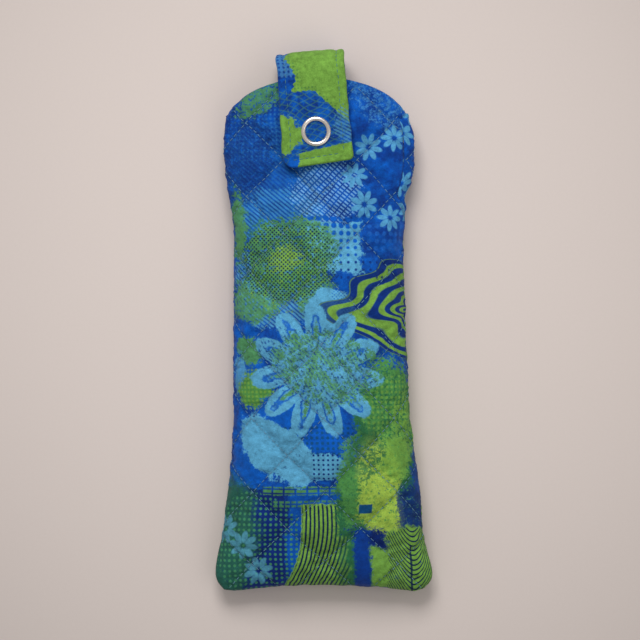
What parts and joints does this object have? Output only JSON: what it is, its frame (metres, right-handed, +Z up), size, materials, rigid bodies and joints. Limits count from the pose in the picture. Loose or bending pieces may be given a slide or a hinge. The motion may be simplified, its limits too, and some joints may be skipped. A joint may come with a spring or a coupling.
{
  "type": "soft pouch glasses case",
  "caption": "Soft quilted cloth pouch for spectacles with an arched open mouth and a cloth tab that folds over the mouth and snaps onto the front.",
  "frame": {"origin": "middle of the flat the back rests on, halfway along the pouch", "axes": "+Y from the sewn bottom to the mouth, +Z up through the front panel, +X to the right seen from the front"},
  "size_m": [0.0806, 0.2023, 0.0262],
  "materials": {
    "printed_cotton": "matte printed woven cotton",
    "lining_cotton": "matte plain woven cotton",
    "batting": "soft fibre wadding",
    "interfacing": "stiff nonwoven",
    "quilting_thread": "satin spun thread",
    "seam_thread": "satin spun thread",
    "snap_metal": "polished nickel plate",
    "spring_wire": "drawn spring wire"
  },
  "bodies": {
    "pouch": {"front_outer_panel": "printed_cotton", "front_batting": "batting", "front_lining": "lining_cotton", "front_quilting_thread": "quilting_thread", "back_outer_panel": "printed_cotton", "back_batting": "batting", "back_lining": "lining_cotton", "back_quilting_thread": "quilting_thread", "side_and_bottom_seam_thread": "seam_thread", "snap_stud": "snap_metal", "stud_prong_ring": "snap_metal", "tab_anchor_cloth": "printed_cotton", "tab_anchor_interfacing": "interfacing", "tab_anchor_stitching": "seam_thread"},
    "front_lip": {"front_lip_outer_cloth": "printed_cotton", "front_lip_batting": "batting", "front_lip_lining": "lining_cotton", "front_lip_quilting_thread": "quilting_thread"},
    "back_lip": {"back_lip_outer_cloth": "printed_cotton", "back_lip_batting": "batting", "back_lip_lining": "lining_cotton", "back_lip_quilting_thread": "quilting_thread"},
    "tab_fold": {"tab_fold_cloth": "printed_cotton", "tab_fold_interfacing": "interfacing", "tab_fold_stitching": "seam_thread"},
    "tab_front": {"tab_front_cloth": "printed_cotton", "tab_front_interfacing": "interfacing", "tab_edge_stitching": "seam_thread", "snap_ring_cap": "snap_metal", "snap_socket": "snap_metal", "socket_spring": "spring_wire"}
  },
  "joints": [
    {"name": "tab_rear_fold", "type": "hinge", "parent": "pouch", "child": "tab_fold", "pos_m": [-0.00338, 0.10303, 0.00307], "axis": [-0.9965, -0.0837, 0], "range_deg": [0, 87]},
    {"name": "tab_front_fold", "type": "hinge", "parent": "tab_fold", "child": "tab_front", "pos_m": [-0.00338, 0.10303, 0.01948], "axis": [-0.9965, -0.0837, 0], "range_deg": [0, 87]},
    {"name": "front_lip_pinch", "type": "hinge", "parent": "pouch", "child": "front_lip", "pos_m": [0, 0.08105, 0.009], "axis": [-1, 0, 0], "range_deg": [0, 15]},
    {"name": "back_lip_pinch", "type": "hinge", "parent": "pouch", "child": "back_lip", "pos_m": [0, 0.08105, 0.009], "axis": [1, 0, 0], "range_deg": [0, 15]}
  ],
  "couplings": [
    {"joint": "tab_front_fold", "follows": "tab_rear_fold", "ratio": 1},
    {"joint": "back_lip_pinch", "follows": "front_lip_pinch", "ratio": 1}
  ]
}
